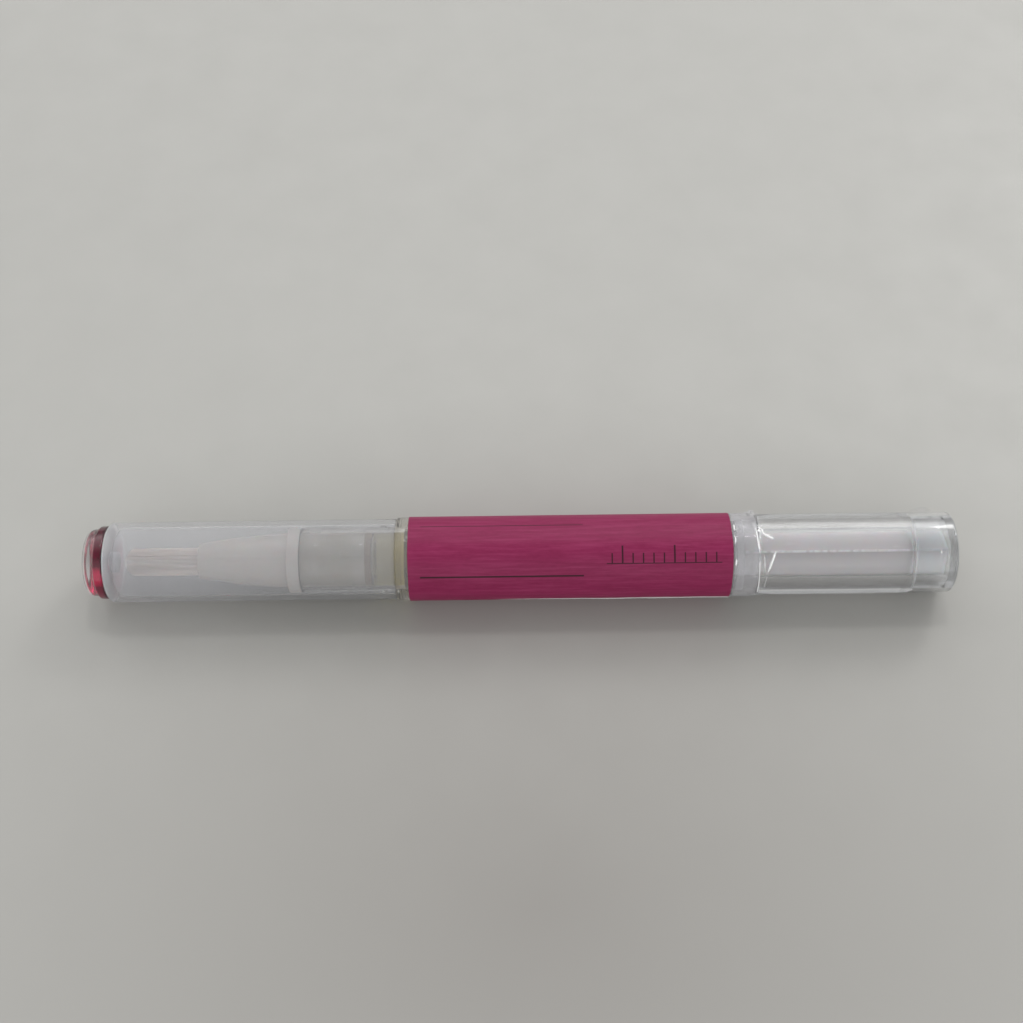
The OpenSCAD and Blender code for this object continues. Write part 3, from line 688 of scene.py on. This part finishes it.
def square_tube():
    """Square tube with rounded corners, a round bore and a square pocket for the nut."""
    n = 96
    angles = [2 * math.pi * (i + 0.5) / n for i in range(n)]
    bm = bmesh.new()

    def even_square(side, fillet):
        """Points of the rounded square at even angles from its centre."""
        pts = []
        h = side / 2
        f = h - fillet
        for a in angles:
            c, s = math.cos(a), math.sin(a)
            t = h / max(abs(c), abs(s))
            x, y = c * t, s * t
            if abs(x) > f and abs(y) > f:
                px, py = math.copysign(f, x), math.copysign(f, y)
                b = c * px + s * py
                t = b + math.sqrt(max(0.0, b * b - (px * px + py * py - fillet * fillet)))
                x, y = c * t, s * t
            pts.append((x, y))
        return pts

    def circle(r):
        return [(r * math.cos(a), r * math.sin(a)) for a in angles]

    def ring(pts, s):
        turn = math.radians(TUBE_TURN) - math.pi / 4
        return [bm.verts.new(place(s, math.hypot(x, y), math.atan2(y, x) + turn)) for x, y in pts]

    outer, pocket, bore = even_square(TUBE_SIDE, 0.28), even_square(TUBE_SIDE - 0.66, 0.1), circle(1.85)
    front, pieces = S_TUBE + 0.02, 30
    loops = [ring(outer, front + (S_TUBE_END - front) * i / pieces) for i in range(pieces + 1)]
    loops += [ring(pocket, S_TUBE_END), ring(pocket, S_NUT - 0.1), ring(bore, S_NUT - 0.1), ring(bore, S_TUBE + 0.6)]
    for p, q in zip(loops, loops[1:]):
        bridge(bm, p, q)
    bm.faces.new(loops[0])
    bm.faces.new(loops[-1])
    return finish_mesh("square_push_tube", bm, 40)


dress(square_tube(), m_tube, "plunger", "milky_plastic", "push_tube")

# ---------------------------------------------------------------- shrink film

FILM_END = 125.05
FILM_THICK = 0.035
MM_PER_DEG = 0.107  # of arc, at the film
# creases higher than 0.06 carry a painted glint, white in full from 0.16
CREASES = [
    # s0, a0, s1, a1, width, height: pleats over the step
    (98.1, 97, 98.4, 62, 0.2, 0.25), (98.42, 57, 98.5, -8, 0.15, 0.2), (98.3, 104, 98.6, 140, 0.2, 0.09),
    (98.3, 150, 98.8, 200, 0.3, 0.12), (98.5, 210, 98.3, 300, 0.3, 0.12), (97.9, -10, 98.0, 40, 0.16, 0.06),
    # small darts behind it
    (99.0, 98, 99.15, 88, 0.2, 0.22), (99.15, 89, 100.4, 82, 0.27, 0.28), (99.3, 80, 99.9, 77, 0.1, 0.09),
    (99.1, 60, 99.25, 31, 0.12, 0.18), (100.7, 62, 99.75, 36, 0.26, 0.28), (99.7, 36, 99.35, 6, 0.12, 0.13),
    (100.2, 62, 99.9, 46, 0.1, 0.1), (99.6, 60, 99.55, 50, 0.1, 0.09),
    # long faint folds over the knob, and short ones near its end
    (107.0, 96, 113.0, 101, 0.5, 0.05), (103.0, 110, 118.0, 106, 0.4, 0.04), (120.2, -9, 121.3, -2, 0.16, 0.16),
    (121.0, 60, 124.2, 66, 0.25, 0.05), (124.6, 62, 125.0, 58, 0.15, 0.15),
    # the front edge and the collar
    (95.0, 94, 95.04, 104, 0.2, 0.24), (95.0, 75, 95.06, 84, 0.2, 0.24), (95.02, 45, 95.08, 54, 0.2, 0.24),
    (95.05, 0, 95.0, 44, 0.16, 0.05), (96.4, 70, 96.8, 88, 0.2, 0.05), (96.9, 30, 96.5, 52, 0.2, 0.05),
]


def ridge(s, a, s0, a0, s1, a1, width):
    """How near a point lies to a crease from (s0, a0) to (s1, a1): 1 on it, 0 from width away. The crease's angles
    are in degrees."""
    px, py = s, math.degrees(a) * MM_PER_DEG
    ax, ay, bx, by = s0, a0 * MM_PER_DEG, s1, a1 * MM_PER_DEG
    wrap = 360 * MM_PER_DEG
    while py - (ay + by) / 2 > wrap / 2:
        py -= wrap
    while (ay + by) / 2 - py > wrap / 2:
        py += wrap
    dx, dy = bx - ax, by - ay
    t = clamped(((px - ax) * dx + (py - ay) * dy) / max(dx * dx + dy * dy, 1e-9))
    d = math.hypot(px - ax - dx * t, py - ay - dy * t)
    taper = 1.0 if 0.12 < t < 0.88 else 0.55
    return taper * max(0.0, 1 - (d / width) ** 2) ** 2


def swell(x, mid, half):
    """Smooth hump, 1 at mid."""
    return math.exp(-((x - mid) / half) ** 2)


def film_radius(s):
    """Mean inner radius of the film, which steps down from the barrel to the knob."""
    t = clamped((s - S_BARREL_END + 0.1) / 0.9)
    t = t * t * (3 - 2 * t)
    return (R_BARREL + 0.015) * (1 - t) + (R_KNOB + 0.055) * t


def film_height(s, a):
    """Height of the film over its smooth form, and how much painted glint its crease gets there."""
    h = 0.0
    for s0, a0, s1, a1, w, up in CREASES:
        if min(s0, s1) - w < s < max(s0, s1) + w:
            h += up * ridge(s, a, s0, a0, s1, a1, w)
    # painted glint: the higher creases are painted white
    painted_glint = clamped((h - 0.06) / 0.1)
    ruffle = noise.noise(Vector((s * 0.9, a * 5.0, 0.3)))
    slack = noise.noise(Vector((s * 0.16, a * 2.6, 5.3)))
    h += swell(s, 99.0, 1.6) * 0.06 * max(0.0, ruffle + 0.25)
    h += 0.022 * max(0.0, slack + 0.2)
    deg = math.degrees(a) % 360
    near_end = math.sin(math.pi * min(1.0, (s - 121.5) / 4.0)) if s > 121.5 else 0.0
    h += 0.72 * (swell(deg, 148, 9) + 0.35 * swell(deg, 292, 12)) * near_end
    h += 0.42 * (swell(deg, 149, 7) * swell(s, 98.2, 0.7))
    return h, painted_glint


def shrunk_film():
    """Clear sleeve over the collar and the knob, with its creases, its wavy rear edge and its small ears."""
    bm = bmesh.new()
    crease = bm.verts.layers.float.new("crease")
    stations = []
    s = S_COLLAR + 0.02
    while s < FILM_END:
        stations.append(s)
        s += 0.07 if s < 101.2 else 0.11 if s > 119.5 else 0.45
    stations.append(FILM_END)
    na, wavy = 360, 11
    grids = []
    for lay in (0, 1):
        grid = []
        for i, s in enumerate(stations):
            row = []
            for j in range(na):
                a = 2 * math.pi * j / na
                edge = 0.0
                if i > len(stations) - 1 - wavy:
                    edge = 0.3 * noise.noise(Vector((math.cos(a) * 2, math.sin(a) * 2, 2.2))) - 0.25
                    edge *= (i - len(stations) + 1 + wavy) / wavy
                up, painted_glint = film_height(s, a)
                r = film_radius(s) + up + FILM_THICK * lay
                if math.sin(a) < -0.1:  # flat where it lies on the floor
                    r = min(r, (AXIS_H - 0.04 + FILM_THICK * lay) / -math.sin(a))
                v = bm.verts.new(place(s + edge, r, a))
                # the painted glint goes to the material in the crease attribute
                v[crease] = painted_glint
                row.append(v)
            grid.append(row)
        grids.append(grid)
    sheet_faces(bm, *grids, closed=True)
    return finish_mesh("shrunk_film", bm, 60)


dress(shrunk_film(), m_film, "barrel", "clear_film", "shrink_film")

# ---------------------------------------------------------------- CAD pieces that keep their own shape

for node, material in (
        ("bristle_collar", m_steel), ("feed_tube", m_white), ("plug_seal", m_seal), ("piston", m_white),
        ("drive_nut", m_acetal), ("guide_ring", m_white), ("ratchet_ring", m_acetal), ("pawl_ring", m_steel),
        ("retaining_ring", m_white), ("spindle", m_acetal)):
    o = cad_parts[node]
    o.data.materials.clear()
    o.data.materials.append(material)

# ---------------------------------------------------------------- floor

bm = bmesh.new()
bmesh.ops.create_grid(bm, x_segments=1, y_segments=1, size=3.0)
floor_mesh = bpy.data.meshes.new("floor")
bm.to_mesh(floor_mesh)
bm.free()
floor = bpy.data.objects.new("floor", floor_mesh)
bpy.context.collection.objects.link(floor)
floor.data.materials.append(floor_material())

# ---------------------------------------------------------------- light

# (elevation, brightness): elevation in turns of 180 degrees, where 0 is the horizon behind the pen, 0.5 is overhead
# and 1 is the horizon on the viewer's side
SKY = [(0.0, 0.4), (0.09, 0.5), (0.155, 1.7), (0.2, 2.2), (0.25, 1.6), (0.32, 1.35), (0.39, 1.02), (0.45, 0.58),
       (0.5, 0.42), (0.56, 0.39), (0.64, 0.7), (0.78, 1.2), (1.0, 1.45)]
SKY_STRENGTH = 0.93

world = bpy.data.worlds.new("soft_room")
bpy.context.scene.world = world
world.use_nodes = True
wn = world.node_tree
wn.nodes.clear()
w_out = wn.nodes.new("ShaderNodeOutputWorld")
w_bg = wn.nodes.new("ShaderNodeBackground")
w_tc = wn.nodes.new("ShaderNodeTexCoord")
w_sep = wn.nodes.new("ShaderNodeSeparateXYZ")
w_ramp = wn.nodes.new("ShaderNodeValToRGB")
wn.links.new(w_tc.outputs["Generated"], w_sep.inputs[0])
w_turn = calc(wn, "DIVIDE", calc(wn, "ARCTAN2", w_sep.outputs["Z"], w_sep.outputs["Y"]), math.pi)
wn.links.new(w_turn, w_ramp.inputs["Fac"])
ramp = w_ramp.color_ramp
while len(ramp.elements) < len(SKY):
    ramp.elements.new(0.5)
for el, (pos, level) in zip(ramp.elements, SKY):
    el.position = pos
    el.color = (level, level, level, 1)
wn.links.new(w_ramp.outputs["Color"], w_bg.inputs["Color"])
w_bg.inputs["Strength"].default_value = SKY_STRENGTH
wn.links.new(w_bg.outputs[0], w_out.inputs["Surface"])

LAMP_WATTS = 0.7
LAMP_COLOUR = (1.0, 0.99, 0.97)


def lamp(name, direction, distance, size):
    """Square lamp that faces the pen's middle from a direction."""
    light = bpy.data.lights.new(name, "AREA")
    light.shape = "SQUARE"
    light.size = size
    light.energy = LAMP_WATTS
    light.color = LAMP_COLOUR
    obj = bpy.data.objects.new(name, light)
    bpy.context.collection.objects.link(obj)
    d = Vector(direction).normalized()
    obj.location = d * distance
    obj.rotation_euler = d.to_track_quat("Z", "Y").to_euler()


LAMP_RISE, LAMP_SWING = math.radians(67), math.radians(2)  # up from the horizon behind the pen, and towards the knob
lamp("side_window", (0.5, 0.65, 0.6), 0.7, 0.16)
lamp("ceiling_lamp", (math.sin(LAMP_SWING), math.cos(LAMP_RISE), math.sin(LAMP_RISE)), 0.9, 0.09)

# ---------------------------------------------------------------- camera, as in the photo

PICTURE_PX = 1023
FOCAL_PX = 1386.0
AXIS_PX = 557.4 - 511.5  # how far the pen's axis is below the picture's middle
SENSOR = 36.0
DIST = 0.205
ELEVATION, ROLL = math.radians(60), math.radians(0.73)

cam_data = bpy.data.cameras.new("camera")
cam = bpy.data.objects.new("camera", cam_data)
bpy.context.collection.objects.link(cam)
bpy.context.scene.camera = cam
cam_data.sensor_width = SENSOR
cam_data.lens = FOCAL_PX / PICTURE_PX * SENSOR
cam_data.clip_start = 0.01
cam_data.clip_end = 20
pitch = ELEVATION - math.atan(AXIS_PX / FOCAL_PX)
fwd = Vector((0, math.cos(pitch), -math.sin(pitch)))
level_right = Vector((1, 0, 0))
level_up = Vector((0, math.sin(pitch), math.cos(pitch)))
right = level_right * math.cos(ROLL) - level_up * math.sin(ROLL)
up = level_right * math.sin(ROLL) + level_up * math.cos(ROLL)
target = place(62.8, 0, 0)
pose = Matrix((right, up, -fwd)).transposed().to_4x4()
pose.translation = target - fwd * DIST + up * (AXIS_PX / FOCAL_PX * DIST)
cam.matrix_world = pose

bpy.context.scene.view_settings.view_transform = "Standard"
